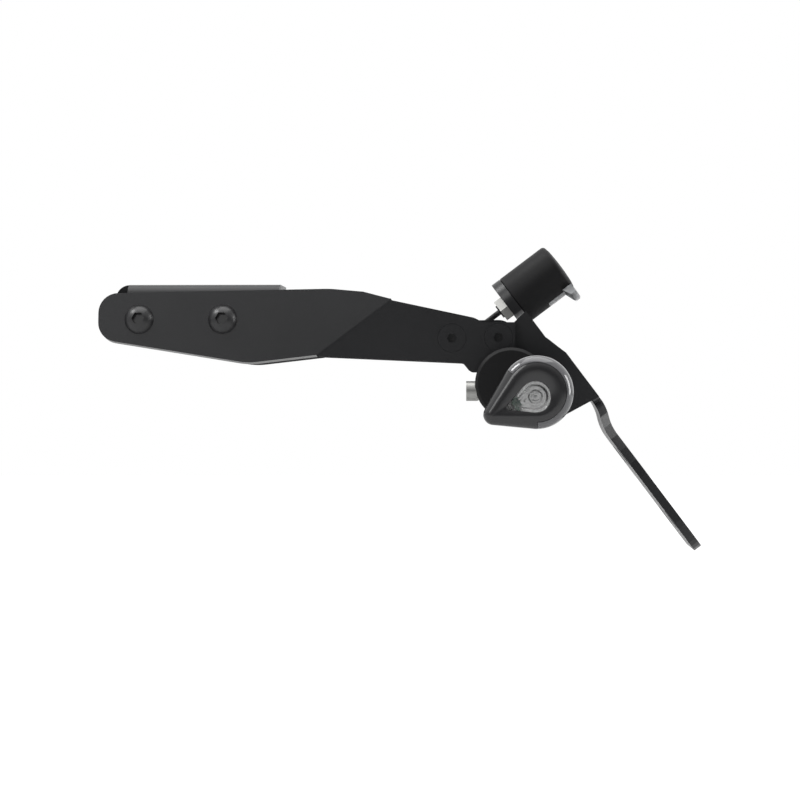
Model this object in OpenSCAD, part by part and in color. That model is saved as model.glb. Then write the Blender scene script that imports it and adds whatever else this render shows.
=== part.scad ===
// Tail tidy: a bolt-on number plate holder with a plate light and two
// indicators, hung under the tail of a motorbike.
// X runs to the rear of the bike, Y to its right-hand side and Z up.
// The origin is the centre of the mounting holes, on the mount plate's top face.

/* [Mount plate] */
// Thickness of the mount plate
mount_t = 3; // [2:0.5:4]
// Distance from the mounting centre to the plate's rear edge
mount_rear = 25; // [24:1:30]
// Distance from the mounting centre to the plate's front edge
mount_front = 34; // [30:1:36]
// Distance between the mounting holes along the bike
mount_hole_dx = 40; // [30:1:42]
// Distance between the mounting holes across the bike
mount_hole_dy = 48; // [40:1:52]
// Diameter of the mounting holes
mount_hole_d = 6.6; // [5.5:0.1:8.5]
// Depth of the side flanges below the bend
mount_flange_h = 17; // [15:1:19]
// Depth of the stiffening lip at the front
mount_lip_h = 7; // [4:1:12]
// Length of the cable window along the bike
window_l = 20; // [14:1:22]
// Width of the cable window
window_w = 26; // [16:1:30]

/* [Arms] */
// Thickness of the arm plates
arm_t = 4; // [3:0.5:5]
// Distance between the inner faces of the arms at their rear ends
arm_gap = 102; // [98:1:110]
// Distance from the mounting centre to the rear edge of the arms
arm_rear = 108.4; // [106:0.2:111]
// Drop of the arms' rear top edge below the mounting face
arm_drop = 13.4; // [12.4:0.2:14.4]
// Height of the arms at their rear end
arm_end_h = 14.4; // [14:0.2:16]
// Height of the arms at the diagonal fold, measured along the fold
arm_fold_l = 33.1; // [31:0.1:35]
// Rise of the diagonal fold line above the horizontal
fold_slope = 36.9; // [34:0.1:40]
// Inward bend of the arms' front halves at the fold
fold_bend = 12; // [8:0.5:14]
// Distance from the mounting centre to the front end of the arms
arm_front = 40; // [38:1:46]

/* [Plate carrier] */
// Slope of the number plate below the horizontal
plate_slope = 53; // [50:0.5:56]
// Thickness of the carrier's sheet
carrier_t = 3.5; // [2.5:0.5:4]
// Length of the carrier's web from the light's stud to its lower edge
carrier_low = 45.5; // [44:0.5:48]
// Inner radius of every press-brake bend
bend_r = 2; // [1.5:0.5:3]
// Length of the adjusting slots in the web
adjust_l = 10; // [8:1:12]

/* [Plate hanger] */
// Thickness of the hanger's sheet
hanger_t = 3; // [2.5:0.5:3.5]
// Distance from the light's stud down to the hanger's top edge
hanger_top = 17.5; // [16:0.5:20]
// Distance from the light's stud down to the hanger's bottom edge
hanger_low = 109; // [104:1:130]
// Width of the hanger below the carrier
hanger_w = 150; // [140:1:180]
// Width of the hanger's neck on the carrier
neck_w = 80; // [76:1:84]
// Radius of the hanger's upper outer corners
shoulder_r = 30; // [20:1:32]
// Radius of the hanger's lower corners
corner_r = 12; // [4:1:20]
// Length of the bevel on the hanger's top edge
bevel_l = 8.5; // [5:0.5:10]
// Length of the joggle that brings the hanger back into the web's plane
joggle_l = 14; // [9:0.5:15]
// Distance between the number plate slots across the bike
plate_slot_dy = 96; // [80:1:104]
// Distance between the rows of number plate slots
plate_slot_ds = 28; // [20:1:32]
// Length of the number plate slots
plate_slot_l = 24; // [12:1:30]
// Width of the number plate slots
plate_slot_w = 7.5; // [6.6:0.1:9]

/* [Plate light] */
// Diameter of the light's body
light_d = 18.8; // [17:0.1:20]
// Length of the light's body
light_l = 20.6; // [19:0.1:23]
// Height of the dome on the light's front end
light_dome = 0.6; // [0.4:0.1:2]
// Diameter of the light's hollow stud
light_stud_d = 5; // [4:0.5:6]
// Diameter of the light's lead
lead_d = 2; // [1.6:0.1:2.4]

/* [Indicators] */
// Diameter of the indicator blocks
block_d = 25.6; // [24:0.2:27]
// Width of the indicator blocks
block_w = 12; // [10:0.5:14]
// Length of the rubber stalk between block and housing
stalk_l = 14; // [10:0.5:20]
// Diameter of the rubber stalk
stalk_d = 13; // [12:0.5:14]
// Length of the indicator housings
housing_l = 40; // [34:1:46]
// Radius of the housing's round rear side
housing_r = 12.8; // [12:0.1:13.6]
// Radius of the housing's nose
nose_r = 3.6; // [3:0.1:4.4]
// Distance from the nose's centre to the rear side's centre
nose_d = 16.9; // [15:0.1:18.5]
// Tilt of the housing's nose below the horizontal
housing_tilt = 27.5; // [20:0.5:35]
// Wall of the housing
housing_wall = 2; // [1.6:0.1:2.4]
// Thickness of the rear lens
lens_t = 2.5; // [2:0.1:3]

/* [Hidden] */
$fn = 64;

// Clearance between pieces that fit into each other
fit = 0.2;
// A length that is longer than any piece, for cuts that go right through
far = 400;
// A bend runs on into the flats beside it by this angle, and lies this far under
// their faces, so that they join into one piece
lap = 3;
inset = 0.01;
// The flats on both sides of the arms' fold run past it by this much
fold_lap = 0.1;

// Screws and nuts: M4, M5, M6 and M8
m4 = 4;
m4_head_d = 7;
m4_head_h = 4;
m5 = 5;
m5_hole = 5.4;
m5_csk_d = 10;
m5_csk_h = 2.6;
m5_af = 8;
m5_nut_h = 5;
m6 = 6;
m6_hole = 6.4;
m6_head_d = 10.5;
m6_head_h = 3.3;
m6_af = 10;
m6_nut_h = 6;
m8 = 8;
m8_hole = 8.4;
m8_af = 13;
m8_nut_h = 6.5;
m8_washer_d = 16;
m8_washer_t = 1;
thread_end = 1;
nut_fit = 0.05;

// The arms' outer faces, and the fold where their front halves turn inward
arm_in = arm_gap / 2;
arm_out = arm_in + arm_t;
arm_low = arm_drop + arm_end_h;
fold_low = [38.4, -arm_low + 2.2];
fold_high = fold_low + arm_fold_l * [cos(fold_slope), sin(fold_slope)];
// Yaw and lean that the fold gives to the front halves
front_yaw = atan(sin(fold_slope) * tan(fold_bend));
front_lean = asin(cos(fold_slope) * sin(fold_bend));

// The mount plate's bends: outer radius, and half the flat width at X = 0
mount_ro = bend_r + mount_t;
front_normal = [-sin(fold_slope) * sin(fold_bend), cos(fold_bend), cos(fold_slope) * sin(fold_bend)];
mount_half = arm_in + (-mount_ro + front_normal[0] * fold_low[0]
    - front_normal[2] * (-mount_ro - fold_low[1])) / front_normal[1];
mount_turn = 90 - front_lean;
// Places of the M6 bolts on the side flanges, along the bend and below it
arm_bolt_x = [-24, 6];
arm_bolt_drop = 9;

// The plate plane: its origin is the light's stud on the sheet's rear face
plane_x = arm_rear;
plane_z = -arm_drop + 8.2;
// The web starts level with the arms' rear top corner and ends inside its side plates,
// whose edges stand proud of it
web_top = (arm_rear - plane_x) * cos(plate_slope) + (arm_drop + plane_z) * sin(plate_slope);
web_low = carrier_low - 1.5;
plate_proud = 0.5;
carrier_bolts = [[arm_rear - 5.9, -arm_drop - 5.4], [arm_rear - 22.4, -arm_drop - 5.6]];
lug_r = 6.2;
hanger_bolt_s = (hanger_top + bevel_l + carrier_low) / 2 - 2;
hanger_bolt_y = [-30, -11, 11, 30];

// The joggle is as high as the hanger is thick, and starts under the side plates
joggle_s = carrier_low;
joggle_turn = 2 * atan(hanger_t / joggle_l);
joggle_r = joggle_l / (2 * sin(joggle_turn));
hanger_wide = carrier_low + 1;
plate_slot_drop = 21;
plate_slot_s = hanger_wide + plate_slot_drop;

// The tab is as wide as the light that stands on it
tab_w = light_d;
// Rounding of the light's front edge, and the pocket and lens in its underside
light_edge = 1.4;
light_chamfer = 0.4;
pocket_l = 9.6;
pocket_w = 9.6;
pocket_n = light_l - 2 - pocket_l;
pocket_floor = 1.2;
lens_depth = 3.2;
// The lens's lip: its height over the body, its length and how far it goes round
lip_h = 4.1;
lip_l = 3.9;
lip_turn = 80;
board_t = 1.2;
chip_w = 2.8;
chip_t = 0.8;
light_nut_h = 3;
lead_bore = lead_d + 0.4;

// Indicator axis on the arms, and the stalk's place on the block
ind_x = arm_rear - 1.4;
ind_z = -arm_low - 7.4;
lobe_r = block_d / 2 - 0.8;
stalk_off = [3, -2.6];
spigot_d = 10;
spigot_l = 8;
groove_d = 1.2;
stub_l = arm_t + carrier_t + m8_washer_t + m8_nut_h + thread_end;
clamp_y = block_w - 4.5;
clamp_seat = block_d / 2 - 0.9;

// Housing: its inner end, and its round side's centre from the stalk's axis
housing_in = block_w + stalk_l;
housing_off = [5.8, -0.4];
housing_edge = 4.6;
shoulder_l = 5;
end_wall = 3;
lens_seat_r = housing_r - lens_t;
lens_part = -6;
window_r = 5.4;
window_nose = 1.2;
window_off = [-1.2, -1.2];
window_tip = [-nose_d + 6.5, -0.2];
board_a = -9.2;
led_w = 4;
led_t = 1.4;
led_pitch = 9;
plug_d = 8;
plug_l = 3;

// The lead's clips sit on the left arm between its fold and the carrier
clip_x = [(fold_low[0] + arm_rear) / 2 - 6, fold_low[0] + 17.5];
clip_l = 5;
clip_z = -arm_drop - 4.6;
clip_y = arm_in - 3;
// The connector under the mount plate
conn_l = 14;
conn_w = 8;
conn_h = 6;
conn_x = 2;
conn_y = -6;
conn_z = -mount_t - conn_h / 2;
peg_d = 4;
// Points of the light's lead, from inside its stud by way of the clips to the connector
lead_points = concat(
    [for (n = [-1, -5, -8.6]) [on_plane(0, n)[0], 0, on_plane(0, n)[1]]],
    [for (p = [[-10, -3, -7.6], [-13, -9, -9.9], [-16, -18, -11.4], [-19, -28, -12.2],
        [-24, -36.5, -12.7], [-28, -40.5, -12.8], [-32, -45.2, -12.8]]) [plane_x, 0, plane_z] + p],
    [[clip_x[0] + 6, 0.5 - clip_y, clip_z]],
    [for (x = [clip_x[0] + 3, clip_x[0] - 3, clip_x[1] + 3, clip_x[1] - 3]) [x, -clip_y, clip_z]],
    [[48, -46.5, -17.4], [42, -42, -16], [36, -35, -14], [31, -27, -11.6], [27, -19, -9]],
    [for (p = [[7, -5, -1], [3, -0.6, -0.1], [-1, 0, 0], [-4, 0, 0]]) [conn_x + conn_l, conn_y, conn_z] + p]
);
lead_sides = 8;
lead_steps = 3;

// A point of the plate plane's side view, given down the slope and out of it
function on_plane(s, n) = [
    plane_x + s * cos(plate_slope) + n * sin(plate_slope),
    plane_z - s * sin(plate_slope) + n * cos(plate_slope)
];

// Points on an arc
function arc(c, r, a0, a1, n = 8) = [
    for (i = [0:n]) c + r * [cos(a0 + (a1 - a0) * i / n), sin(a0 + (a1 - a0) * i / n)]
];

// An outline whose corners [x, y, r] are rounded with arcs
function unit(v) = v / norm(v);
function corner(a, b, c, r) =
    let (u = unit(a - b), v = unit(c - b), half = acos(u * v) / 2)
    let (m = b + unit(u + v) * r / sin(half), p = b + u * r / tan(half), q = b + v * r / tan(half))
    let (a0 = atan2(p[1] - m[1], p[0] - m[0]), a1 = atan2(q[1] - m[1], q[0] - m[0]))
    let (turn = a1 - a0 > 180 ? a1 - a0 - 360 : a1 - a0 < -180 ? a1 - a0 + 360 : a1 - a0)
    arc(m, r, a0, a0 + turn);
function flat(p) = [p[0], p[1]];
function rounded(pts) = [
    for (i = [0:len(pts) - 1])
        let (a = pts[(i + len(pts) - 1) % len(pts)], b = pts[i], c = pts[(i + 1) % len(pts)])
        each (b[2] > 0 ? corner(flat(a), flat(b), flat(c), b[2]) : [flat(b)])
];

// Two circles joined by their outer tangents
function link_quad(p, r, q, s) =
    let (b = atan2(q[1] - p[1], q[0] - p[0]), g = acos((r - s) / norm(q - p)))
    [
        p + r * [cos(b + g), sin(b + g)], p + r * [cos(b - g), sin(b - g)],
        q + s * [cos(b - g), sin(b - g)], q + s * [cos(b + g), sin(b + g)]
    ];
module link(p, r, q, s) {
    translate(p) circle(r);
    translate(q) circle(s);
    polygon(link_quad(p, r, q, s));
}

// The same outline as one smooth polygon
function link_outline(p, r, q, s) =
    let (b = atan2(q[1] - p[1], q[0] - p[0]), g = acos((r - s) / norm(q - p)))
    concat(arc(p, r, b + g, b + 360 - g, 32), arc(q, s, b - g, b + g, 12));

// A round-ended slot along X
module slot(l, w) {
    link([-l / 2, 0], w / 2, [l / 2, 0], w / 2);
}

// An outline in the side view, given as a plate from y0 to y1
module slab(y0, y1) {
    translate([0, y1, 0]) rotate([90, 0, 0]) linear_extrude(y1 - y0) children();
}

// A press-brake bend along X that starts upward and turns to +Y
module bend(t, w, turn) {
    translate([w - inset, 0, 0]) rotate([0, -90, 0]) rotate(-lap)
        rotate_extrude(angle = turn + 2 * lap)
            translate([bend_r + inset, 0]) square([t - 2 * inset, w - 2 * inset]);
}

// The left-hand side mirrors the right-hand side
module side(right) {
    mirror([0, right ? 0 : 1, 0]) children();
}

// The arms' front halves, turned inward about the fold
module front_half() {
    translate([fold_low[0], arm_in, fold_low[1]])
        rotate(a = fold_bend, v = [cos(fold_slope), 0, sin(fold_slope)])
            translate([-fold_low[0], -arm_in, -fold_low[1]]) children();
}

// The mount plate's side bend: X along it, Y down the flange, Z outward
module flange_frame() {
    translate([0, mount_half, -mount_ro]) rotate([0, 0, front_yaw])
        rotate([-mount_turn, 0, 0]) children();
}

// The plate plane: X down the slope, Z out to the rear
module plate_frame() {
    translate([plane_x, 0, plane_z]) rotate([0, plate_slope, 0]) children();
}

// The right-hand indicator's axis, along Z, from the arm's outer face
module block_frame() {
    translate([ind_x, arm_out, ind_z]) rotate([-90, 0, 0]) children();
}
module stalk_frame() {
    block_frame() translate([stalk_off[0], -stalk_off[1], 0]) children();
}

// Places of the four M6 bolts on the flanges, and of the M5 screws
module at_arm_bolts() {
    flange_frame() for (x = arm_bolt_x) translate([x, arm_bolt_drop, mount_ro]) children();
}
module at_carrier_bolts() {
    for (p = carrier_bolts) translate([p[0], arm_out, p[1]]) rotate([-90, 0, 0]) children();
}
module at_hanger_bolts() {
    plate_frame() for (y = hanger_bolt_y) translate([hanger_bolt_s, y, 0]) children();
}

// Fasteners: the seat is at Z = 0 and the shank runs down
module hex_socket(af, depth) {
    translate([0, 0, -depth]) cylinder(d = af / cos(30), h = depth + 1, $fn = 6);
}
module csk_screw(l) {
    difference() {
        union() {
            translate([0, 0, -m5_csk_h]) cylinder(d1 = m5, d2 = m5_csk_d, h = m5_csk_h);
            translate([0, 0, -l]) cylinder(d = m5, h = l - m5_csk_h);
        }
        hex_socket(3, 1.8);
    }
}
module csk_hole() {
    translate([0, 0, -far / 2]) cylinder(d = m5_hole, h = far);
    translate([0, 0, -m5_csk_h - fit]) cylinder(d1 = m5, d2 = m5_csk_d + fit, h = m5_csk_h + fit);
    cylinder(d = m5_csk_d + fit, h = 1);
}
module button_bolt(l) {
    // A dome that meets the seat at the head's full diameter
    dome_r = (pow(m6_head_d / 2, 2) + pow(m6_head_h, 2)) / (2 * m6_head_h);
    difference() {
        union() {
            intersection() {
                translate([0, 0, m6_head_h - dome_r]) sphere(dome_r);
                cylinder(d = m6_head_d + 1, h = m6_head_h + 1);
            }
            translate([0, 0, -l]) cylinder(d = m6, h = l);
        }
        translate([0, 0, m6_head_h]) hex_socket(4, 2);
    }
}
module nyloc(d, af, h) {
    // A hexagon with turned corners and a round collar
    difference() {
        union() {
            intersection() {
                cylinder(d = af / cos(30), h = h * 0.72, $fn = 6);
                translate([0, 0, -0.01]) cylinder(d1 = af * 1.04, d2 = af * 1.04 + 2 * h, h = h);
                translate([0, 0, h * 0.72 - h]) cylinder(d2 = af * 1.04, d1 = af * 1.04 + 2 * h, h = h);
            }
            cylinder(d = af * 0.92, h = h);
        }
        translate([0, 0, -1]) cylinder(d = d + 2 * nut_fit, h = h + 2);
    }
}

// Mount plate: a folded tray with a stiffened front edge
module mount_plate() {
    flat_pts = [
        [mount_rear, mount_half + mount_rear * tan(front_yaw)],
        [-mount_front + mount_ro, mount_half + (-mount_front + mount_ro) * tan(front_yaw)]
    ];
    flange_l = (mount_rear + mount_front - mount_ro) / cos(front_yaw);
    lip_half = flat_pts[1][1] - 4;
    color([0.09, 0.09, 0.095]) {
        difference() {
            translate([0, 0, -mount_t]) linear_extrude(mount_t)
                polygon([flat_pts[0], flat_pts[1], [flat_pts[1][0], -flat_pts[1][1]],
                    [flat_pts[0][0], -flat_pts[0][1]]]);
            for (x = [-1, 1], y = [-1, 1])
                translate([x * mount_hole_dx / 2, y * mount_hole_dy / 2, -far / 2])
                    cylinder(d = mount_hole_d, h = far);
            translate([-12, 0, -far / 2]) linear_extrude(far) polygon(rounded([
                [-window_l / 2, -window_w / 2, 5], [window_l / 2, -window_w / 2, 5],
                [window_l / 2, window_w / 2, 5], [-window_l / 2, window_w / 2, 5]
            ]));
            translate([conn_x + conn_l / 2, conn_y, -far / 2]) cylinder(d = peg_d + fit, h = far);
        }
        for (right = [false, true]) side(right) {
            translate([flat_pts[1][0], flat_pts[1][1], -mount_ro]) rotate([0, 0, front_yaw])
                bend(mount_t, flange_l, mount_turn);
            flange_frame() translate([0, 0, bend_r]) difference() {
                linear_extrude(mount_t) polygon(rounded([
                    [flat_pts[1][0] / cos(front_yaw), 0, 0],
                    [mount_rear / cos(front_yaw), 0, 0],
                    [mount_rear / cos(front_yaw) - 7, mount_flange_h, 7],
                    [flat_pts[1][0] / cos(front_yaw) + 2, mount_flange_h, 7]
                ]));
                for (x = arm_bolt_x) translate([x, arm_bolt_drop, -1]) cylinder(d = m6_hole, h = mount_t + 2);
            }
        }
        translate([flat_pts[1][0], -lip_half, -mount_ro]) rotate([0, 0, 90]) {
            bend(mount_t, 2 * lip_half, 90);
            rotate([-90, 0, 0]) translate([0, 0, bend_r]) linear_extrude(mount_t) polygon(rounded([
                [0, 0, 0], [2 * lip_half, 0, 0], [2 * lip_half, mount_lip_h, 3], [0, mount_lip_h, 3]
            ]));
        }
    }
}

// Arms: flat plates with the front half bent inward along a diagonal
module arm(right) {
    past = fold_lap * [-sin(fold_slope), cos(fold_slope)];
    rear_ends = [fold_low + past, fold_high + past];
    front_ends = [fold_low - past, fold_high - past];
    color([0.085, 0.085, 0.09]) side(right) difference() {
        union() {
            slab(arm_in, arm_out) {
                polygon(rounded([
                    [rear_ends[0][0], rear_ends[0][1], 0],
                    [rear_ends[1][0], rear_ends[1][1], 0],
                    [arm_rear - 14.6, -arm_drop + 1.6, 5],
                    [arm_rear - 11.4, -arm_drop, 2],
                    [arm_rear, -arm_drop, 0],
                    [arm_rear, ind_z, 0],
                    [ind_x - lobe_r + 0.4, ind_z, 0],
                    [ind_x - lobe_r + 0.4, -arm_low - 3.2, 0],
                    [arm_rear - 16, -arm_low - 3.2, 2],
                    [arm_rear - 18.6, -arm_low, 2]
                ]));
                translate([ind_x, ind_z]) circle(lobe_r);
            }
            front_half() slab(arm_in, arm_out) polygon(rounded([
                [front_ends[1][0], front_ends[1][1], 0],
                [front_ends[0][0], front_ends[0][1], 0],
                [14, -arm_low - 0.5, 24],
                [-arm_front, -19, 7],
                [-arm_front, -2.6, 7],
                [43, -1.9, 40],
                [55, -3.1, 0]
            ]));
            // The outside of the fold
            translate([fold_low[0], arm_in, fold_low[1]]) rotate([0, -fold_slope, 0])
                translate([arm_fold_l - inset, 0, 0]) rotate([0, -90, 0])
                    rotate(90 - fold_bend - lap) rotate_extrude(angle = fold_bend + 2 * lap)
                        translate([arm_t / 8, 0]) square([arm_t * 7 / 8 - inset, arm_fold_l - 2 * inset]);
        }
        at_arm_bolts() translate([0, 0, -far / 2]) cylinder(d = m6_hole, h = far);
        at_carrier_bolts() csk_hole();
        block_frame() translate([0, 0, -far / 2]) cylinder(d = m8_hole, h = far);
    }
}

module arm_bolts() {
    color([0.05, 0.05, 0.055]) for (right = [false, true]) side(right)
        at_arm_bolts() translate([0, 0, arm_t]) button_bolt(arm_t + mount_t + m6_nut_h + thread_end);
}

module arm_nuts() {
    color([0.72, 0.72, 0.7]) for (right = [false, true]) side(right)
        at_arm_bolts() translate([0, 0, -mount_t]) mirror([0, 0, 1]) nyloc(m6, m6_af, m6_nut_h);
}

// Plate carrier: a web welded between two side plates, with a tab for the light
module plate_carrier() {
    lobe = [ind_x, ind_z];
    low_front = on_plane(carrier_low - 2.1, -11);
    reach = norm(low_front - lobe);
    touch = atan2(low_front[1] - lobe[1], low_front[0] - lobe[0]) - acos(lobe_r / reach);
    color([0.09, 0.09, 0.095]) {
        plate_frame() difference() {
            translate([0, 0, -carrier_t]) linear_extrude(carrier_t) {
                translate([web_top, -arm_in + carrier_t / 2])
                    square([web_low - web_top, 2 * arm_in - carrier_t]);
                circle(tab_w / 2);
                polygon(rounded([
                    [0, tab_w / 2, 0], [0, -tab_w / 2, 0],
                    [web_top, -tab_w / 2, 3], [web_top, -tab_w / 2 - 10, 0],
                    [web_top + 1, -tab_w / 2 - 10, 0], [web_top + 1, tab_w / 2 + 10, 0],
                    [web_top, tab_w / 2 + 10, 0], [web_top, tab_w / 2, 3]
                ]));
            }
            translate([0, 0, -far / 2]) cylinder(d = light_stud_d + 2 * fit, h = far);
            for (y = hanger_bolt_y) translate([hanger_bolt_s, y, -far / 2])
                linear_extrude(far) slot(adjust_l, m5_hole);
        }
        for (right = [false, true]) side(right) difference() {
            slab(arm_in - carrier_t, arm_in) {
                polygon([
                    on_plane(web_top - 1, plate_proud), on_plane(hanger_top, plate_proud),
                    on_plane(hanger_top + bevel_l, hanger_t), on_plane(carrier_low, hanger_t),
                    low_front, lobe + lobe_r * [cos(touch), sin(touch)], lobe, carrier_bolts[0]
                ]);
                link(carrier_bolts[0], lug_r, lobe, lobe_r);
                link(carrier_bolts[1], lug_r, carrier_bolts[0], lug_r);
            }
            at_carrier_bolts() translate([0, 0, -far / 2]) cylinder(d = m5_hole, h = far);
            block_frame() translate([0, 0, -far / 2]) cylinder(d = m8_hole, h = far);
        }
    }
}

module carrier_screws() {
    color([0.05, 0.05, 0.055]) for (right = [false, true]) side(right)
        at_carrier_bolts() csk_screw(arm_t + carrier_t + m5_nut_h + thread_end);
}

module carrier_nuts() {
    color([0.72, 0.72, 0.7]) for (right = [false, true]) side(right)
        at_carrier_bolts() translate([0, 0, -arm_t - carrier_t]) mirror([0, 0, 1])
            nyloc(m5, m5_af, m5_nut_h);
}

// Plate hanger: a joggled sheet with wide shoulders and number plate slots
module plate_hanger() {
    mid = hanger_t / 2;
    up = [joggle_s, mid - joggle_r];
    down = [joggle_s + joggle_l, joggle_r - mid];
    profile = concat(
        [[hanger_top, 0], [hanger_top, hanger_t * 0.25], [hanger_top + bevel_l, hanger_t]],
        arc(up, joggle_r + mid, 90, 90 - joggle_turn, 6),
        arc(down, joggle_r - mid, 270 - joggle_turn, 270, 6),
        [[hanger_low, 0], [hanger_low, -hanger_t]],
        arc(down, joggle_r + mid, 270, 270 - joggle_turn, 6),
        arc(up, joggle_r - mid, 90 - joggle_turn, 90, 6)
    );
    w = hanger_w / 2;
    n = neck_w / 2;
    color([0.09, 0.09, 0.095]) plate_frame() difference() {
        intersection() {
            slab(-w - 1, w + 1) polygon(profile);
            translate([0, 0, -10]) linear_extrude(20) polygon(rounded([
                [hanger_top, -n, 3], [hanger_wide, -n, 3], [hanger_wide, -w, shoulder_r],
                [hanger_low, -w, corner_r], [hanger_low, w, corner_r],
                [hanger_wide, w, shoulder_r], [hanger_wide, n, 3], [hanger_top, n, 3]
            ]));
        }
        for (y = hanger_bolt_y) translate([hanger_bolt_s, y, hanger_t]) csk_hole();
        for (x = [0, 1], y = [-1, 1])
            translate([plate_slot_s + x * plate_slot_ds, y * plate_slot_dy / 2, -10])
                linear_extrude(20) rotate(90) slot(plate_slot_l - plate_slot_w, plate_slot_w);
    }
}

module hanger_screws() {
    color([0.05, 0.05, 0.055]) at_hanger_bolts() translate([0, 0, hanger_t])
        csk_screw(hanger_t + carrier_t + m5_nut_h + thread_end);
}

module hanger_nuts() {
    color([0.72, 0.72, 0.7]) at_hanger_bolts() translate([0, 0, -carrier_t]) mirror([0, 0, 1])
        nyloc(m5, m5_af, m5_nut_h);
}

// Plate light: a turned body with a hollow stud and a side pocket
module light_pocket(grow) {
    translate([pocket_floor, -pocket_w / 2 - grow, pocket_n - grow])
        cube([light_d, pocket_w + 2 * grow, pocket_l + 2 * grow]);
}
module light_body() {
    r = light_d / 2;
    dome_r = (r * r + light_dome * light_dome) / (2 * light_dome);
    color([0.1, 0.1, 0.105]) plate_frame() difference() {
        union() {
            rotate_extrude() polygon(concat(
                [[0, 0], [r - light_chamfer, 0], [r, light_chamfer]],
                arc([r - light_edge, light_l - light_dome - light_edge], light_edge, 0, 70, 6),
                [for (i = [1:6]) let (x = (r - light_edge) * (1 - i / 6))
                    [x, light_l - dome_r + sqrt(dome_r * dome_r - x * x)]]
            ));
            translate([0, 0, -carrier_t - light_nut_h - 0.5])
                cylinder(d = light_stud_d, h = carrier_t + light_nut_h + 1);
        }
        light_pocket(0);
        translate([0, 0, -far / 2]) cylinder(d = lead_bore, h = far / 2 + pocket_n + 1);
    }
}

module light_board() {
    color([0.1, 0.35, 0.2]) plate_frame() {
        translate([pocket_floor, -pocket_w / 2 + fit, pocket_n + fit])
            cube([board_t, pocket_w - 2 * fit, pocket_l - 2 * fit]);
        for (y = [-1, 1]) translate([pocket_floor + board_t, y * pocket_w / 4 - chip_w / 2,
            pocket_n + (pocket_l - chip_w) / 2]) cube([chip_t, chip_w, chip_w]);
    }
}

module light_lens() {
    r = light_d / 2;
    w = pocket_w - fit;
    n0 = light_l - 0.9 - lip_l;
    color([0.85, 0.87, 0.88]) plate_frame() {
        intersection() {
            translate([r - lens_depth, -w / 2, pocket_n + fit / 2]) cube([light_d, w, pocket_l - fit]);
            cylinder(r = r, h = light_l);
        }
        translate([r - lens_depth, -w / 2, n0 + 0.5])
            cube([lens_depth + 1, w, pocket_n + pocket_l - fit / 2 - n0 - 0.5]);
        rotate(-lip_turn / 2) rotate_extrude(angle = lip_turn) polygon([
            [r + fit / 4, n0], [r + lip_h - 0.9, n0 + 1.2], [r + lip_h, n0 + 1.8],
            [r + lip_h, n0 + lip_l - 0.5], [r + lip_h - 0.6, n0 + lip_l], [r + fit / 4, n0 + lip_l]
        ]);
    }
}

module light_nut() {
    color([0.75, 0.75, 0.73]) plate_frame() translate([0, 0, -carrier_t]) mirror([0, 0, 1])
        difference() {
            rotate(30) cylinder(d = m5_af / cos(30), h = light_nut_h, $fn = 6);
            translate([0, 0, -1]) cylinder(d = light_stud_d + 2 * nut_fit, h = light_nut_h + 2);
        }
}

// Lead: a smooth curve through the lead's points, swept with a round section
function catmull(a, b, c, d, t) =
    0.5 * (2 * b + (c - a) * t + (2 * a - 5 * b + 4 * c - d) * t * t
        + (3 * b - a - 3 * c + d) * t * t * t);
function lead_at(i) = lead_points[max(0, min(len(lead_points) - 1, i))];
lead_path = [
    for (i = [0:len(lead_points) - 2], j = [0:lead_steps - 1])
        catmull(lead_at(i - 1), lead_at(i), lead_at(i + 1), lead_at(i + 2), j / lead_steps),
    lead_points[len(lead_points) - 1]
];
function lead_dir(i) = unit(
    lead_path[min(len(lead_path) - 1, i + 1)] - lead_path[max(0, i - 1)]);
module light_lead() {
    n = len(lead_path);
    m = lead_sides;
    points = [
        for (i = [0:n - 1])
            let (d = lead_dir(i), u = unit(cross(d, [0, 0, 1])), v = cross(u, d))
            for (k = [0:m - 1])
                lead_path[i] + lead_d / 2 * (u * cos(360 * k / m) + v * sin(360 * k / m))
    ];
    faces = concat(
        [[for (k = [0:m - 1]) k]],
        [for (i = [0:n - 2], k = [0:m - 1])
            [i * m + k, (i + 1) * m + k, (i + 1) * m + (k + 1) % m, i * m + (k + 1) % m]],
        [[for (k = [m - 1:-1:0]) (n - 1) * m + k]]
    );
    color([0.07, 0.07, 0.07]) polyhedron(points, faces);
}

// Connector: a two-pin housing held under the mount plate by a peg
module light_connector() {
    color([0.12, 0.12, 0.125]) difference() {
        union() {
            translate([conn_x, conn_y - conn_w / 2, conn_z - conn_h / 2]) cube([conn_l, conn_w, conn_h]);
            translate([conn_x + conn_l / 2, conn_y, -mount_t - 1])
                cylinder(d = peg_d, h = mount_t + 1 - fit);
        }
        translate([conn_x + conn_l - 4.6, conn_y, conn_z]) rotate([0, 90, 0])
            cylinder(d = lead_bore, h = 6);
        for (y = [-1, 1]) translate([conn_x - 1, conn_y + y * 1.9 - 1.2, conn_z - 1.2])
            cube([7, 2.4, 2.4]);
    }
}

module lead_clips() {
    color([0.1, 0.1, 0.1]) for (x = clip_x) difference() {
        union() {
            translate([x, -clip_y, clip_z]) rotate([0, 90, 0])
                cylinder(d = lead_d + 2.4, h = clip_l, center = true);
            translate([x - clip_l / 2, -arm_in, clip_z - 3])
                cube([clip_l, arm_in - clip_y - lead_d / 2 - 0.4, 6]);
        }
        translate([x, -clip_y, clip_z]) rotate([0, 90, 0]) cylinder(d = lead_bore, h = far, center = true);
    }
}

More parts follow.
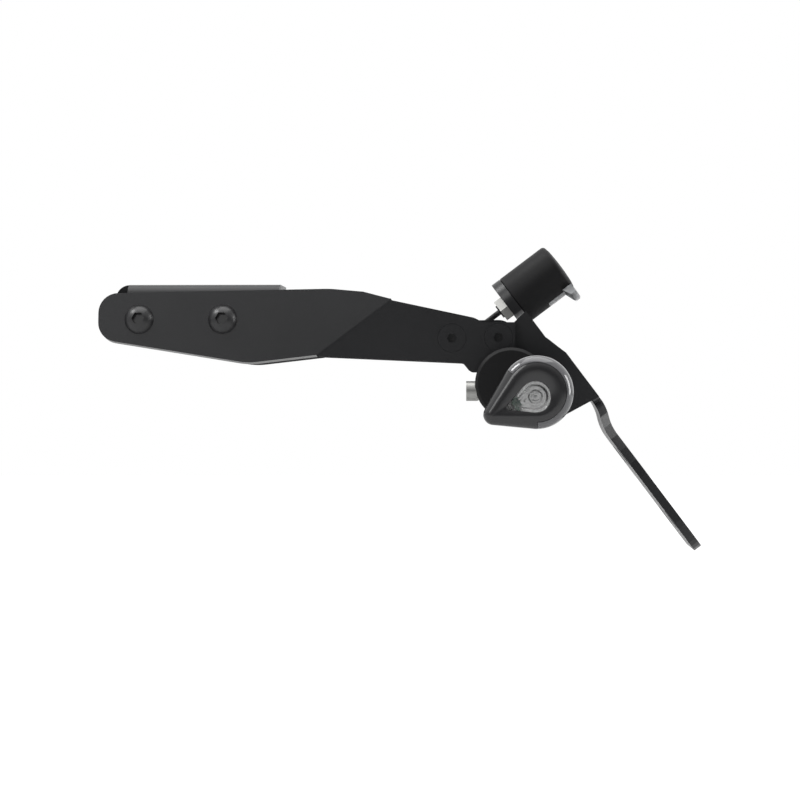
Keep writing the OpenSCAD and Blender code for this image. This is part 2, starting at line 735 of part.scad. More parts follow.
// Indicator block: an eccentric turned adaptor with a hollow threaded stub
module indicator_block(right) {
    r = block_d / 2;
    color([0.1, 0.1, 0.105]) side(right) difference() {
        block_frame() union() {
            rotate_extrude() polygon([
                [0, 0], [r - 0.8, 0], [r, 0.8], [r, 3.2], [r - groove_d, 3.2 + groove_d],
                [r - groove_d, 4.4 + groove_d], [r, 4.4 + 2 * groove_d], [r, block_w - 1],
                [r - 1, block_w], [0, block_w]
            ]);
            translate([0, 0, -stub_l]) cylinder(d = m8, h = stub_l + 1);
        }
        block_frame() translate([0, 0, -far / 2]) cylinder(d = 4, h = far);
        stalk_frame() translate([0, 0, block_w - spigot_l]) cylinder(d = spigot_d + fit, h = far);
        clamp_frame() {
            cylinder(d = m4 + fit, h = far, center = true);
            cylinder(d = m4_head_d + 2 * fit, h = far);
        }
    }
}

// The clamp screw points forward and meets the stalk's spigot
module clamp_frame() {
    translate([ind_x - clamp_seat, arm_out + clamp_y, ind_z + stalk_off[1]]) rotate([0, -90, 0])
        children();
}

module indicator_screws() {
    l = clamp_seat + stalk_off[0] - spigot_d / 2 - fit;
    color([0.75, 0.75, 0.73]) for (right = [false, true]) side(right) clamp_frame() difference() {
        union() {
            cylinder(d = m4_head_d, h = m4_head_h);
            translate([0, 0, -l]) cylinder(d = m4, h = l);
        }
        translate([0, 0, m4_head_h]) hex_socket(3, 2);
    }
}

module indicator_washers() {
    color([0.75, 0.75, 0.73]) for (right = [false, true]) side(right)
        block_frame() translate([0, 0, -arm_t - carrier_t - m8_washer_t]) difference() {
            cylinder(d = m8_washer_d, h = m8_washer_t);
            translate([0, 0, -1]) cylinder(d = m8_hole, h = m8_washer_t + 2);
        }
}

module indicator_nuts() {
    color([0.75, 0.75, 0.73]) for (right = [false, true]) side(right)
        block_frame() translate([0, 0, -arm_t - carrier_t - m8_washer_t]) mirror([0, 0, 1])
            difference() {
                cylinder(d = m8_af / cos(30), h = m8_nut_h, $fn = 6);
                translate([0, 0, -1]) cylinder(d = m8 + 2 * nut_fit, h = m8_nut_h + 2);
            }
}

// Stalk: a ribbed rubber neck with a plug at each end
module indicator_stalk(right) {
    r = stalk_d / 2;
    rib = (stalk_l - 2) / 4;
    color([0.06, 0.06, 0.06]) side(right) stalk_frame() difference() {
        rotate_extrude() polygon(concat(
            [[0, block_w - spigot_l + fit], [spigot_d / 2, block_w - spigot_l + fit], [spigot_d / 2, block_w]],
            [[r, block_w], [r, block_w + 1]],
            [for (i = [0:3]) each [
                [r, block_w + 1 + i * rib + rib * 0.2], [r - 1.1, block_w + 1 + i * rib + rib * 0.4],
                [r - 1.1, block_w + 1 + i * rib + rib * 0.7], [r, block_w + 1 + i * rib + rib * 0.9]
            ]],
            [[r, housing_in], [plug_d / 2, housing_in]],
            [[plug_d / 2, housing_in + plug_l], [0, housing_in + plug_l]]
        ));
        cylinder(d = 3.2, h = far, center = true);
    }
}

// Places and outlines in the housing's own side view: X to the rear lens
module housing_frame(y0, y1) {
    translate([ind_x + stalk_off[0] + housing_off[0], arm_out, ind_z + stalk_off[1] + housing_off[1]])
        rotate([0, -housing_tilt, 0]) slab(y0, y1) children();
}
module teardrop(r, nose) {
    polygon(link_outline([0, 0], r, [-nose_d, 0], nose));
}
// The outer form: a teardrop with rounded ends
module rounded_disc(r) {
    e = min(housing_edge, r - 0.4);
    rotate_extrude($fn = 40) polygon(concat(
        [[0, 0]], arc([r - e, e], e, -90, 0, 5), arc([r - e, housing_l - e], e, 0, 90, 5), [[0, housing_l]]
    ));
}
module housing_form() {
    translate([ind_x + stalk_off[0] + housing_off[0], arm_out + housing_in,
        ind_z + stalk_off[1] + housing_off[1]]) rotate([0, -housing_tilt, 0]) rotate([-90, 0, 0]) hull() {
            rounded_disc(housing_r);
            translate([-nose_d, 0, 0]) rounded_disc(nose_r);
        }
}
module behind_part(gap) {
    translate([lens_part + gap, -far / 2]) square([far, far]);
}

module indicator_housing(right) {
    y0 = housing_in;
    y1 = housing_in + housing_l;
    color([0.07, 0.07, 0.075]) side(right) difference() {
        intersection() {
            housing_form();
            union() {
                housing_frame(y0 - 1, y0 + shoulder_l) square(far, center = true);
                housing_frame(y0, y1 + 1) {
                    difference() {
                        square(far, center = true);
                        behind_part(0);
                    }
                    teardrop(lens_seat_r, nose_r);
                }
            }
        }
        housing_frame(y0 + end_wall, y1 - end_wall) teardrop(lens_seat_r - housing_wall, nose_r - housing_wall);
        housing_frame(y0 + shoulder_l + 1, y1 - end_wall - 2) behind_part(lens_seat_r - 2);
        housing_frame(y1 - end_wall - 1, y1 + 1) indicator_opening(0);
        stalk_frame() translate([0, 0, housing_in - 1]) cylinder(d = plug_d + fit, h = end_wall + 1.5);
    }
}
module indicator_opening(inset) {
    polygon(link_outline(window_off, window_r - inset, window_tip, window_nose - inset));
}

module indicator_lens(right) {
    y0 = housing_in;
    color([0.55, 0.56, 0.58]) side(right) difference() {
        intersection() {
            housing_form();
            housing_frame(y0 + shoulder_l + fit / 2, y0 + housing_l + 1) behind_part(fit / 2);
        }
        housing_frame(y0, y0 + housing_l + 2) teardrop(lens_seat_r + fit / 2, nose_r + fit / 2);
    }
}

module indicator_window(right) {
    y1 = housing_in + housing_l;
    color([0.85, 0.86, 0.87]) side(right)
        housing_frame(y1 - end_wall, y1 - 0.2) indicator_opening(fit / 2);
}

module indicator_reflector(right) {
    y0 = housing_in + end_wall;
    y1 = housing_in + housing_l - end_wall;
    r = lens_seat_r - housing_wall - fit;
    n = nose_r - housing_wall - fit;
    color([0.85, 0.85, 0.86]) side(right) difference() {
        housing_frame(y0 + 1.6, y1 - fit) teardrop(r, n);
        housing_frame(y0 + 2.6, y1 + 1) teardrop(r - 1, n - 1);
        housing_frame(y0, y1) behind_part(lens_seat_r - 1);
    }
}

module indicator_led(right) {
    y0 = housing_in + end_wall + 3;
    color([0.2, 0.22, 0.18]) side(right) {
        housing_frame(y0, y0 + 3 * led_pitch + 1) translate([board_a, -3]) square([board_t, 6]);
        for (i = [0:2]) housing_frame(y0 + 3 + led_pitch * i, y0 + 3 + led_pitch * i + led_w)
            translate([board_a + board_t, -led_w / 2]) square([led_t, led_w]);
    }
}

mount_plate();
arm(false);  // arm_left
arm(true);  // arm_right
arm_bolts();
arm_nuts();
plate_carrier();
carrier_screws();
carrier_nuts();
plate_hanger();
hanger_screws();
hanger_nuts();
light_body();
light_lens();
light_board();
light_nut();
light_lead();
light_connector();
lead_clips();
indicator_block(false);  // indicator_block_left
indicator_block(true);  // indicator_block_right
indicator_screws();
indicator_washers();
indicator_nuts();
indicator_stalk(false);  // indicator_stalk_left
indicator_stalk(true);  // indicator_stalk_right
indicator_housing(false);  // indicator_housing_left
indicator_housing(true);  // indicator_housing_right
indicator_reflector(false);  // indicator_reflector_left
indicator_reflector(true);  // indicator_reflector_right
indicator_led(false);  // indicator_led_left
indicator_led(true);  // indicator_led_right
indicator_lens(false);  // indicator_lens_left
indicator_lens(true);  // indicator_lens_right
indicator_window(false);  // indicator_window_left
indicator_window(true);  // indicator_window_right
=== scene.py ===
# A tail tidy: the folded bracket that carries a motorbike's number plate, plate light and
# rear indicators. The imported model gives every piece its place, in metres, with +X to the
# rear of the bike, +Y to its right and +Z up.
import math

import bmesh
import bpy
import numpy as np
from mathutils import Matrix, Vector


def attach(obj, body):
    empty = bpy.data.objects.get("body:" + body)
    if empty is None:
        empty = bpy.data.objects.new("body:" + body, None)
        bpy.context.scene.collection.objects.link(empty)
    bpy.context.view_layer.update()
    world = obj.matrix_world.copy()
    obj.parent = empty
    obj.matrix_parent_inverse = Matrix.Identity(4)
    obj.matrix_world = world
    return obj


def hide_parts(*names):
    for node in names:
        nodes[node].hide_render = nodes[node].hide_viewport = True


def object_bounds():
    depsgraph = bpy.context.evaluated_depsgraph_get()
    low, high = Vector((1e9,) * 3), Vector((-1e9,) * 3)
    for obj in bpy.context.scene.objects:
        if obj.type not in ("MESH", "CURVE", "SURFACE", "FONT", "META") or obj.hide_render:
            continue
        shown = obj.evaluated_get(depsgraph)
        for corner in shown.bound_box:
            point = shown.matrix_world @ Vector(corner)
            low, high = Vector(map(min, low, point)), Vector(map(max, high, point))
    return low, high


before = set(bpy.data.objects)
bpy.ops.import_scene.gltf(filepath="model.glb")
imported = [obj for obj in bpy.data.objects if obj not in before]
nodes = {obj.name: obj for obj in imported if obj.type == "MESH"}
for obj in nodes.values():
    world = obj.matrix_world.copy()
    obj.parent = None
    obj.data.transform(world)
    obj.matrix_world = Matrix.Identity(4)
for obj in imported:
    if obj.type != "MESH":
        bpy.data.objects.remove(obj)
cad_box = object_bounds()
MM = 0.001
SIDES = {"left": -1, "right": 1}


# The camera stands far off on the bike's left, level with the indicators, and looks
# along +Y through a long lens, so that the near indicator hides the far one.
eye = Vector((104, -3200, -38)) * MM
aim = Vector((67, 0, -41)) * MM
shown_width = 288 * MM

lens_data = bpy.data.cameras.new("side_camera")
lens_data.sensor_width = 36
lens_data.lens = lens_data.sensor_width * (aim - eye).length / shown_width
lens_data.clip_start = 0.05
lens_data.clip_end = 60
camera = bpy.data.objects.new("side_camera", lens_data)
camera.location = eye
camera.rotation_mode = "QUATERNION"
camera.rotation_quaternion = (aim - eye).to_track_quat("-Z", "Y")
bpy.context.collection.objects.link(camera)
bpy.context.scene.camera = camera
bpy.context.scene.view_settings.view_transform = "Standard"


# The studio: a white floor under the part, a bright sweep above and behind it, four
# softboxes, and a dim room behind the camera, so that black parts stay black.
def add(tree, kind, inputs=None, **settings):
    """Adds one shader node with its settings, and links or sets each of its inputs."""
    made = tree.nodes.new(kind)
    for key, value in settings.items():
        setattr(made, key, value)
    for key, value in (inputs or {}).items():
        if isinstance(value, bpy.types.NodeSocket):
            tree.links.new(value, made.inputs[key])
        else:
            made.inputs[key].default_value = value
    return made


def surface_grid(name, points, close_u=False, close_v=False):
    """A mesh from an array of points (rows u, columns v): neighbours join into quads."""
    rows, cols = points.shape[:2]
    index = np.arange(rows * cols).reshape(rows, cols)
    if close_u:
        index = np.vstack([index, index[:1]])
    if close_v:
        index = np.hstack([index, index[:, :1]])
    quads = np.stack([index[:-1, :-1], index[1:, :-1], index[1:, 1:], index[:-1, 1:]], axis=-1)
    mesh = bpy.data.meshes.new(name)
    mesh.from_pydata(points.reshape(-1, 3).tolist(), [], quads.reshape(-1, 4).tolist())
    made = bpy.data.objects.new(name, mesh)
    bpy.context.collection.objects.link(made)
    return made


floor_z = cad_box[0].z - 60 * MM
floor_reach = 9.0
angle = np.linspace(0, 2 * np.pi, 97)[:-1]
radius = np.array([0.001, floor_reach])[:, None]
floor = surface_grid("floor", np.stack(
    [radius * np.cos(angle), radius * np.sin(angle), floor_z + 0 * radius * angle], axis=-1),
    close_v=True)

paper = bpy.data.materials.new("white_paper")
paper.use_nodes = True
tree = paper.node_tree
tree.nodes.clear()
seen = add(tree, "ShaderNodeLightPath").outputs["Is Camera Ray"]
lit = add(tree, "ShaderNodeBsdfDiffuse", {"Color": (0.62, 0.62, 0.62, 1)})
glow = add(tree, "ShaderNodeEmission", {"Color": (1, 1, 1, 1), "Strength": 0.62})
both = add(tree, "ShaderNodeAddShader", {0: lit.outputs[0], 1: glow.outputs[0]})
bounce = add(tree, "ShaderNodeMixShader", {0: seen, 1: lit.outputs[0], 2: both.outputs[0]})
under = add(tree, "ShaderNodeNewGeometry").outputs["Backfacing"]
clear = add(tree, "ShaderNodeBsdfTransparent")
sheet = add(tree, "ShaderNodeMixShader", {0: under, 1: bounce.outputs[0], 2: clear.outputs[0]})
add(tree, "ShaderNodeOutputMaterial", {"Surface": sheet.outputs[0]})
floor.data.materials.append(paper)

world = bpy.data.worlds.new("studio")
bpy.context.scene.world = world
world.use_nodes = True
tree = world.node_tree
tree.nodes.clear()
path = add(tree, "ShaderNodeLightPath")
away = add(tree, "ShaderNodeVectorMath", {
    0: add(tree, "ShaderNodeTexCoord").outputs["Generated"], 1: (-0.12, 0.55, 0.83)},
    operation="DOT_PRODUCT").outputs["Value"]
sweep = add(tree, "ShaderNodeMapRange", {
    "Value": away, "From Min": -0.70, "From Max": 0.55, "To Min": 0.02, "To Max": 1.0},
    interpolation_type="SMOOTHSTEP").outputs[0]
room = add(tree, "ShaderNodeBackground", {"Color": (1, 1, 1, 1), "Strength": sweep})
white = add(tree, "ShaderNodeBackground", {"Color": (1, 1, 1, 1), "Strength": 1.0})
direct = add(tree, "ShaderNodeMath", {
    0: path.outputs["Is Camera Ray"], 1: path.outputs["Is Transmission Ray"]},
    operation="MAXIMUM").outputs[0]
backdrop = add(tree, "ShaderNodeMixShader", {0: direct, 1: room.outputs[0], 2: white.outputs[0]})
add(tree, "ShaderNodeOutputWorld", {"Surface": backdrop.outputs[0]})


def softbox(name, place, target, width, height, watts):
    """A rectangular area lamp that faces its target."""
    data = bpy.data.lights.new(name, "AREA")
    data.shape = "RECTANGLE"
    data.size, data.size_y, data.energy = width, height, watts
    lamp = bpy.data.objects.new(name, data)
    lamp.location = place
    lamp.rotation_mode = "QUATERNION"
    lamp.rotation_quaternion = (Vector(target) - Vector(place)).to_track_quat("-Z", "Y")
    bpy.context.collection.objects.link(lamp)


softbox("top_softbox", (0.1, 0.1, 1.7), aim, 1.6, 1.6, 16)
softbox("front_softbox", (-0.85, -1.35, 1.0), aim, 0.8, 0.8, 9)
softbox("rear_softbox", (1.5, -0.1, 0.3), aim, 0.5, 0.9, 10)
softbox("shoulder_softbox", (-1.1, 0.0, 1.4), aim, 0.6, 0.6, 12)


# The mount plate: 3 mm steel, cut flat, folded into a tray and powder coated in a fine
# satin black. Four screws hold its top face up under the tail.
def grain_group():
    """Group: fine bumps and soft patches from two noises of one Object coordinate.
    Height is the fine noise, and Patch the coarse one, both from 0 to 1."""
    group = bpy.data.node_groups.new("coat_grain", "ShaderNodeTree")
    for name, value in (("Fine", 900.0), ("Coarse", 30.0)):
        socket = group.interface.new_socket(name, in_out="INPUT", socket_type="NodeSocketFloat")
        socket.default_value = value
    for name in ("Height", "Patch"):
        group.interface.new_socket(name, in_out="OUTPUT", socket_type="NodeSocketFloat")
    sizes = add(group, "NodeGroupInput")
    place = add(group, "ShaderNodeTexCoord").outputs["Object"]
    fine = add(group, "ShaderNodeTexNoise", {
        "Vector": place, "Scale": sizes.outputs["Fine"], "Detail": 2.0, "Roughness": 0.6})
    coarse = add(group, "ShaderNodeTexNoise", {
        "Vector": place, "Scale": sizes.outputs["Coarse"], "Detail": 3.0, "Roughness": 0.5})
    add(group, "NodeGroupOutput", {"Height": fine.outputs[0], "Patch": coarse.outputs[0]})
    return group


coat_grain = grain_group()


def finish(name, dark, light, rough, fine, coarse, depth, constants):
    """A material whose colour and roughness drift between two values in soft patches,
    over a fine bump of the given depth in metres. Constants go on the shader itself."""
    made = bpy.data.materials.new(name)
    made.use_nodes = True
    tree = made.node_tree
    shader = tree.nodes["Principled BSDF"]
    for key, value in constants.items():
        shader.inputs[key].default_value = value
    grain = add(tree, "ShaderNodeGroup", node_tree=coat_grain)
    grain.inputs["Fine"].default_value = fine
    grain.inputs["Coarse"].default_value = coarse
    colour = add(tree, "ShaderNodeMix", {
        "Factor": grain.outputs["Patch"], "A": (*dark, 1), "B": (*light, 1)}, data_type="RGBA")
    matt = add(tree, "ShaderNodeMapRange", {
        "Value": grain.outputs["Patch"], "From Min": 0.3, "From Max": 0.7,
        "To Min": rough[0], "To Max": rough[1]})
    bump = add(tree, "ShaderNodeBump", {
        "Height": grain.outputs["Height"], "Strength": 1.0, "Distance": depth})
    tree.links.new(colour.outputs["Result"], shader.inputs["Base Color"])
    tree.links.new(matt.outputs[0], shader.inputs["Roughness"])
    tree.links.new(bump.outputs[0], shader.inputs["Normal"])
    return made


def dress(material, *names):
    """Gives each named CAD node that material."""
    for name in names:
        nodes[name].data.materials.clear()
        nodes[name].data.materials.append(material)


powder_coat = finish("powder_coat", (0.0080, 0.0082, 0.0092), (0.0098, 0.0100, 0.0112),
                     (0.31, 0.38), 2400, 25, 0.000012, {"Specular IOR Level": 0.36})
dress(powder_coat, "mount_plate")


# The arms: 4 mm steel plates, bent inward along a diagonal fold and powder coated. Each is
# bolted flat to the outside of the mount plate's side flange.
dress(powder_coat, "arm_left", "arm_right")


# The arm bolts: black M6 button heads from outside, with zinc-plated locking nuts inside
# the flanges.
black_steel = finish("black_steel", (0.0080, 0.0080, 0.0090), (0.0110, 0.0110, 0.0120),
                     (0.30, 0.38), 1500, 60, 0.000004, {"Specular IOR Level": 0.5})
dress(black_steel, "arm_bolts")
zinc = finish("zinc_plate", (0.27, 0.27, 0.26), (0.35, 0.35, 0.34),
              (0.36, 0.46), 1200, 150, 0.000004, {"Metallic": 1.0})
dress(zinc, "arm_nuts")


# The plate carrier: a web welded between two side plates, with a round tab for the light.
# It is powder coated and stands between the arms' rear ends.
dress(powder_coat, "plate_carrier")


# The carrier's fasteners: flush M5 screws, coated like the arms, go through the arms and
# the carrier's side plates into zinc-plated locking nuts inside them.
dress(powder_coat, "carrier_screws")
dress(zinc, "carrier_nuts")


# The plate hanger: 3 mm steel with a joggle below the carrier, wide shoulders and four
# slots for the number plate's bolts, powder coated.
dress(powder_coat, "plate_hanger")


# The hanger's fasteners: four flush M5 screws, coated like the hanger, go from behind
# through its neck and the web's slots into zinc-plated locking nuts.
dress(powder_coat, "hanger_screws")
dress(zinc, "hanger_nuts")


# The plate light: a turned and anodised body whose stud goes through the carrier's tab,
# with a board and a clear lens in its underside, and a zinc-plated nut behind.
anodised = finish("black_anodised", (0.0085, 0.0085, 0.0090), (0.0105, 0.0105, 0.0110),
                  (0.50, 0.58), 1800, 40, 0.000004, {"Specular IOR Level": 0.14})
dress(anodised, "light_body")
frosted = finish("frosted_plastic", (0.42, 0.43, 0.44), (0.48, 0.49, 0.50), (0.28, 0.36), 900, 80,
                 0.000004, {"Transmission Weight": 0.75, "IOR": 1.45})
dress(frosted, "light_lens")
board = finish("circuit_board", (0.010, 0.060, 0.030), (0.015, 0.080, 0.040), (0.3, 0.4), 900, 100,
               0.000004, {})
dress(board, "light_board")
dress(zinc, "light_nut")


# The light's lead: a round sheathed cable that leaves the stud, runs in two nylon clips
# along the left arm and ends in a nylon connector under the mount plate.
def solid(name, points, close_u=False, close_v=True, sharp=38):
    """A closed body from a grid of points: poles and seams are merged, faces are turned
    outward, and edges that turn by more than the given degrees stay sharp."""
    made = surface_grid(name, points, close_u, close_v)
    work = bmesh.new()
    work.from_mesh(made.data)
    bmesh.ops.remove_doubles(work, verts=work.verts, dist=0.0005 * MM)
    bmesh.ops.recalc_face_normals(work, faces=work.faces)
    work.to_mesh(made.data)
    work.free()
    made.data.shade_smooth()
    made.data.set_sharp_from_angle(angle=math.radians(sharp))
    return made


def wear(piece, material, slot, *replaced):
    """A new piece takes its material, rides on the part and stands for its CAD nodes."""
    piece.data.materials.append(material)
    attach(piece, "root")
    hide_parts(*replaced)


def through(points, steps):
    """A smooth curve through the points: each stretch is the cubic whose slope at a point
    is half the way from the point before to the point after."""
    ends = np.vstack([points[:1], points, points[-1:]])
    a, b, c, d = (ends[i:len(points) - 1 + i, None] for i in range(4))
    t = np.linspace(0, 1, steps, endpoint=False)[None, :, None]
    curve = 0.5 * (2 * b + (c - a) * t + (2 * a - 5 * b + 4 * c - d) * t ** 2
                   + (3 * b - a - 3 * c + d) * t ** 3)
    return np.vstack([curve.reshape(-1, 3), points[-1:]])


def tube(points, radius, sides):
    """Circles round a curve: the side vector lies level, square to the curve, and the
    third vector is square to both. The ends close on the curve's own end points."""
    along = np.gradient(points, axis=0)
    along /= np.linalg.norm(along, axis=1, keepdims=True)
    level = np.cross(along, (0, 0, 1))
    level /= np.linalg.norm(level, axis=1, keepdims=True)
    rise = np.cross(level, along)
    turn = np.linspace(0, 2 * np.pi, sides, endpoint=False)[None, :, None]
    spread = level[:, None] * np.cos(turn) + rise[:, None] * np.sin(turn)
    rings = points[:, None] + radius * spread
    cap = np.ones((1, sides, 1))
    return np.concatenate([points[0] * cap, rings, points[-1] * cap])


lead_points = np.array([
    (107.6, 0, -5.8), (104.41, 0, -8.21), (101.53, 0, -10.38), (98.4, -3, -12.8),
    (95.4, -9, -15.1), (92.4, -18, -16.6), (89.4, -28, -17.4), (84.4, -36.5, -17.9),
    (80.4, -40.5, -18), (76.4, -45.2, -18), (73.4, -47.5, -18), (70.4, -48, -18),
    (64.4, -48, -18), (58.9, -48, -18), (52.9, -48, -18), (48, -46.5, -17.4), (42, -42, -16),
    (36, -35, -14), (31, -27, -11.6), (27, -19, -9), (23, -11, -7), (19, -6.6, -6.1),
    (15, -6, -6), (12, -6, -6)]) * MM
nylon = finish("black_nylon", (0.010, 0.010, 0.011), (0.016, 0.016, 0.017), (0.42, 0.52), 1500, 60,
               0.00001, {})
sheath = finish("cable_sheath", (0.008, 0.008, 0.008), (0.012, 0.012, 0.012),
                (0.45, 0.55), 1200, 90, 0.000004, {})
lead_radius, lead_steps, lead_sides = 1.0 * MM, 7, 20
lead = solid("sheathed_lead", tube(through(lead_points, lead_steps), lead_radius, lead_sides))
wear(lead, sheath, "lead", "light_lead")
dress(nylon, "lead_clips", "light_connector")


# The indicator blocks: turned and anodised adaptors with a V groove, on hollow M8 stubs
# through the arms. A zinc-plated screw clamps each stalk; washers and nuts sit inside.
dress(anodised, "indicator_block_left", "indicator_block_right")
dress(zinc, "indicator_screws", "indicator_washers", "indicator_nuts")


# The stalks: moulded rubber bellows that carry the indicators and let them bend. The block's
# screw clamps a spigot at one end, and a plug at the other end goes into the housing.
rubber = finish("matt_rubber", (0.010, 0.010, 0.010), (0.016, 0.016, 0.016), (0.6, 0.72), 1500, 60,
                0.00001, {})
arm_face = 55 * MM
stalk_x, stalk_z = 110.0 * MM, -37.8 * MM
block_end, housing_start = 12 * MM, 26 * MM
stalk_radius, rib_depth, rib_count = 6.5 * MM, 1.1 * MM, 4
plug_radius, plug_length = 4.0 * MM, 2.5 * MM
spigot_radius, spigot_length = 4.9 * MM, 7.5 * MM
flat_end = 0.8 * MM

fold = np.linspace(0, 1, 65)
bellows_y = block_end + flat_end + fold * (housing_start - block_end - 2 * flat_end)
bellows_r = stalk_radius - rib_depth * 0.5 * (1 - np.cos(2 * np.pi * rib_count * fold))
stalk_y = np.concatenate([[block_end - spigot_length] * 2, [block_end] * 2, bellows_y,
                          [housing_start] * 2, [housing_start + plug_length] * 2])
stalk_r = np.concatenate([[0, spigot_radius, spigot_radius, stalk_radius], bellows_r,
                          [stalk_radius, plug_radius, plug_radius, 0]])
turn = np.linspace(0, 2 * np.pi, 48, endpoint=False)
for name, sign in SIDES.items():
    # Each point of the profile goes round the stalk's axis, which runs along Y
    stalk = solid(f"bellows_{name}", np.stack([
        stalk_x + stalk_r[:, None] * np.cos(turn), sign * (arm_face + stalk_y[:, None] + 0 * turn),
        stalk_z + stalk_r[:, None] * np.sin(turn)], axis=-1))
    wear(stalk, rubber, "rubber", f"indicator_stalk_{name}")


# The housings: moulded in gloss black, a teardrop in side view with large soft edges. The
# round side and the outer rim are stepped down to seat the rear lens.
housing_x, housing_z = 115.8 * MM, -38.2 * MM
housing_y = arm_face + housing_start
housing_tilt = math.radians(27.5)
housing_length = 40 * MM
round_radius, round_edge = 12.8 * MM, 4.6 * MM
nose_radius, nose_edge, nose_at = 3.6 * MM, 3.2 * MM, np.array((-16.9, 0)) * MM
lens_thick, lens_from, lens_turn = 2.5 * MM, 5 * MM, math.radians(116)
seat_radius = round_radius - lens_thick
window_at, window_radius = np.array((-1.2, -1.2)) * MM, 5.4 * MM
window_tip, window_nose = np.array((-10.4, -0.2)) * MM, 1.2 * MM
window_edge, window_edge_mid = 0.3 * MM, 0.09 * MM
wall, end_wall = 2 * MM, 3 * MM


def place_housing(flat, depth, sign):
    """Puts side-view points and their depths on the part: the side view is turned nose
    down about the round side's centre, and depth runs outward from the stalk."""
    c, s = math.cos(housing_tilt), math.sin(housing_tilt)
    a, b = flat[..., 0], flat[..., 1]
    return np.stack([housing_x + a * c - b * s, sign * (housing_y + depth),
                     housing_z + a * s + b * c], axis=-1)


def drop_outline(turn, centre, radius, tip, tip_radius):
    """The outline round two circles: for each outward direction, the point of the circle
    that reaches further that way."""
    out = np.stack([np.cos(turn), np.sin(turn)], axis=-1)
    far = (out @ (tip - centre) + tip_radius > radius)[..., None]
    return np.where(far, tip + tip_radius * out, centre + radius * out)


def drop_skin(turn, lift):
    """The skin round two discs with rounded rims: for each outward direction (turn round
    the outline, lift towards the end face), the point of the disc that reaches further.
    Returns side-view points, and heights below the end face's plane as negative values."""
    out = np.stack([np.cos(turn), np.sin(turn)], axis=-1)
    level = np.maximum(np.cos(lift), 1e-6)
    reach = level * (nose_radius - nose_edge + out @ nose_at - round_radius + round_edge) \
        + (nose_edge - round_edge) * (1 - np.sin(lift))
    far = (reach > 0)[..., None]
    flat = np.where(far, nose_at + (nose_radius - nose_edge + nose_edge * level[..., None]) * out,
                    (round_radius - round_edge + round_edge * level[..., None]) * out)
    edge = np.where(far[..., 0], nose_edge, round_edge)
    return flat, edge * (np.sin(lift) - 1)


# Extra columns stand at the lens's ends, and where the skin passes from disc to disc
step = math.radians(0.15)
lens_ends = np.array([lens_turn, lens_turn + step])
disc_change = np.radians([119.5, 121, 122.9, 123.1])
turn = np.sort(np.concatenate([
    np.linspace(-np.pi, np.pi, 96, endpoint=False),
    -lens_ends, lens_ends, -disc_change, disc_change]))
seat_lift = math.acos((seat_radius - round_radius + round_edge) / round_edge)
under_lens = (np.abs(turn) <= lens_turn + 1e-9)[:, None]
seat_rows = 9
rise = np.concatenate([np.linspace(0, seat_lift, seat_rows),
                       np.linspace(seat_lift, np.pi / 2, 7)[1:]])
inner_flat, inner_fall = drop_skin(turn[None], np.linspace(np.pi / 2, 0, 9)[:, None])
outer_flat, outer_fall = drop_skin(turn[None], rise[:, None])
seat = seat_radius * np.stack([np.cos(turn), np.sin(turn)], axis=-1)
side_wall = inner_flat[-1]
stepped = np.where(under_lens, seat, side_wall)
rim_flat = outer_flat.copy()
rim_flat[:seat_rows] = np.where(under_lens, seat, outer_flat[:seat_rows])


def opening(grow):
    """The window opening's outline, grown by that much."""
    return drop_outline(turn, window_at, window_radius + grow, window_tip, window_nose + grow)


cavity = drop_outline(turn, np.zeros(2), seat_radius - wall, nose_at, nose_radius - wall)
centre = 0 * side_wall
# From the outer face in: the opening's rounded edge, its bore, the cavity and its end wall
ends = [(opening(window_edge), housing_length),
        (opening(window_edge_mid), housing_length - window_edge_mid),
        (opening(0), housing_length - window_edge), (opening(0), housing_length - end_wall),
        (cavity, housing_length - end_wall), (cavity, end_wall), (centre, end_wall)]
housing_flat = np.concatenate([
    centre[None], inner_flat, side_wall[None], stepped[None], rim_flat,
    np.stack([flat for flat, depth in ends])])
housing_depth = np.concatenate([
    0 * turn[None], -inner_fall, np.full((2, len(turn)), lens_from), housing_length + outer_fall,
    np.stack([depth + 0 * turn for flat, depth in ends])])
gloss = finish("gloss_black", (0.015, 0.015, 0.016), (0.019, 0.019, 0.020), (0.14, 0.20), 500, 60,
               0.000002, {"Specular IOR Level": 0.5})
for name, sign in SIDES.items():
    housing = solid(f"housing_{name}", place_housing(housing_flat, housing_depth, sign), sharp=30)
    wear(housing, gloss, "gloss_housing", f"indicator_housing_{name}")


# Inside the housings: a moulded tray, metallised to reflect, and a circuit board with
# three LEDs. The rear lens and the end window close both in.
chrome = finish("metallised", (0.52, 0.52, 0.51), (0.60, 0.60, 0.59), (0.20, 0.30), 500, 60,
                0.000002, {"Metallic": 1.0})
dress(chrome, "indicator_reflector_left", "indicator_reflector_right")
dress(board, "indicator_led_left", "indicator_led_right")


# The rear lenses: smoked plastic channels, welded into the housings' step, that wrap the
# round side and turn over the outer rim.
lens_gap = 0.1 * MM
lens_radius = seat_radius + lens_gap
lens_lift = math.acos((lens_radius - round_radius + round_edge) / round_edge)
arc = np.linspace(0, lens_lift, 11)
arc_r = round_radius - round_edge * (1 - np.cos(arc))
arc_y = housing_length - round_edge * (1 - np.sin(arc))
section_r = np.concatenate([[lens_radius, round_radius], arc_r, [lens_radius]])
section_y = np.concatenate([[lens_from + lens_gap] * 2, arc_y, [housing_length - round_edge]])
sweep_turn = np.linspace(-lens_turn + 0.5 * step, lens_turn - 0.5 * step, 89)
lens_flat = section_r[:, None, None] * np.stack([np.cos(sweep_turn), np.sin(sweep_turn)], axis=-1)
lens_depth = section_y[:, None] + 0 * sweep_turn
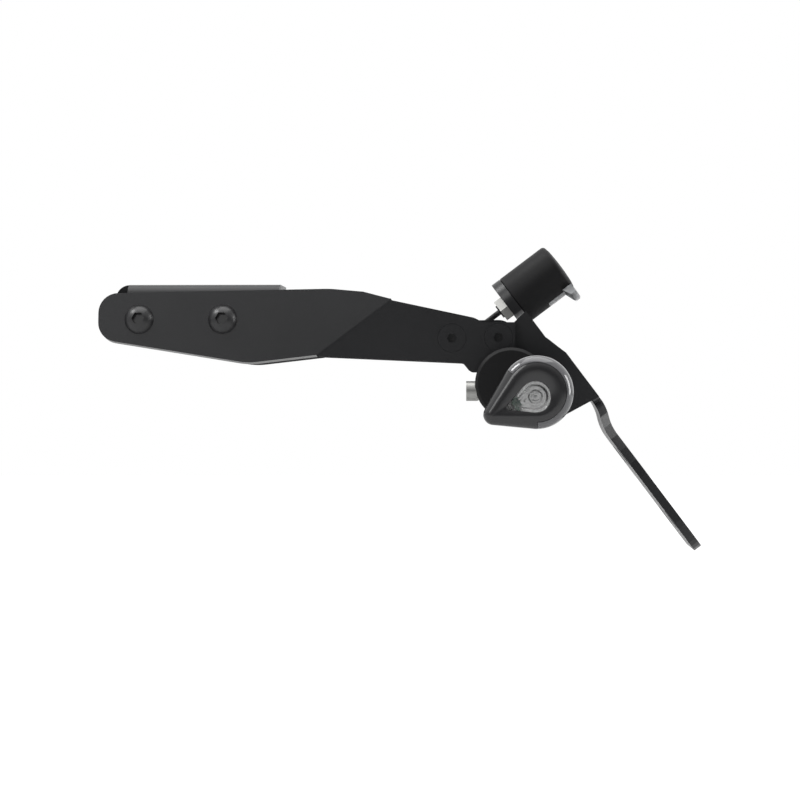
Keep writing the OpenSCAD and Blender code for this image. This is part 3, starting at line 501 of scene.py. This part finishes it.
# Each end closes on the middle of its own section
cap = [flat.mean(axis=0) for flat in (lens_flat[:, 0], lens_flat[:, -1])]
lens_flat = np.concatenate([np.tile(cap[0], (len(section_r), 1, 1)), lens_flat,
                            np.tile(cap[1], (len(section_r), 1, 1))], axis=1)
cap_depth = lens_depth.mean(axis=0)[:1] + 0 * section_y[:, None]
lens_depth = np.concatenate([cap_depth, lens_depth, cap_depth], axis=1)
smoke = finish("smoked_lens", (0.060, 0.060, 0.064), (0.075, 0.075, 0.080), (0.10, 0.16), 500, 60,
               0.000002, {"Coat Weight": 0.5, "Coat Roughness": 0.05})
lens_edge, lens_edge_angle = 0.25 * MM, math.radians(38)
for name, sign in SIDES.items():
    lens = solid(f"rear_lens_{name}", place_housing(lens_flat, lens_depth, sign), True, False)
    edge = lens.modifiers.new("edge", "BEVEL")
    edge.width, edge.segments, edge.limit_method = lens_edge, 2, "ANGLE"
    edge.angle_limit = lens_edge_angle
    wear(lens, smoke, "rear_lens", f"indicator_lens_{name}")


# The end windows: clear plastic with ring optics on the inner face, set just below the
# housings' end faces.
window_gap, face_depth, back_depth = 0.1 * MM, 0.35 * MM, 2.6 * MM
window_middle, dome_height = np.array((-3.6, -0.9)) * MM, 0.15 * MM
ring_pitch, ring_depth = 1.8 * MM, 0.16 * MM
shrink = np.linspace(0, 1, 19)
face_flat = window_middle + (opening(-window_gap) - window_middle) * shrink[:, None, None]
dome = dome_height * (1 - shrink[:, None] ** 2) ** 2
# The rings are a cosine of the distance from the window's round part
ring_radius = np.linalg.norm(face_flat - window_at, axis=-1)
rings = 0.5 * ring_depth * (1 - np.cos(2 * np.pi * ring_radius / ring_pitch))
window_flat = np.concatenate([face_flat, face_flat[::-1]])
window_depth = housing_length + np.concatenate([
    dome - face_depth + 0 * rings, (-back_depth - rings)[::-1]])
clear_plastic = finish("clear_plastic", (0.90, 0.91, 0.92), (0.95, 0.95, 0.95),
                       (0.10, 0.16), 500, 60, 0.000001,
                       {"Transmission Weight": 1.0, "IOR": 1.49})
for name, sign in SIDES.items():
    window = solid(f"end_window_{name}", place_housing(window_flat, window_depth, sign))
    wear(window, clear_plastic, "clear_lens", f"indicator_window_{name}")
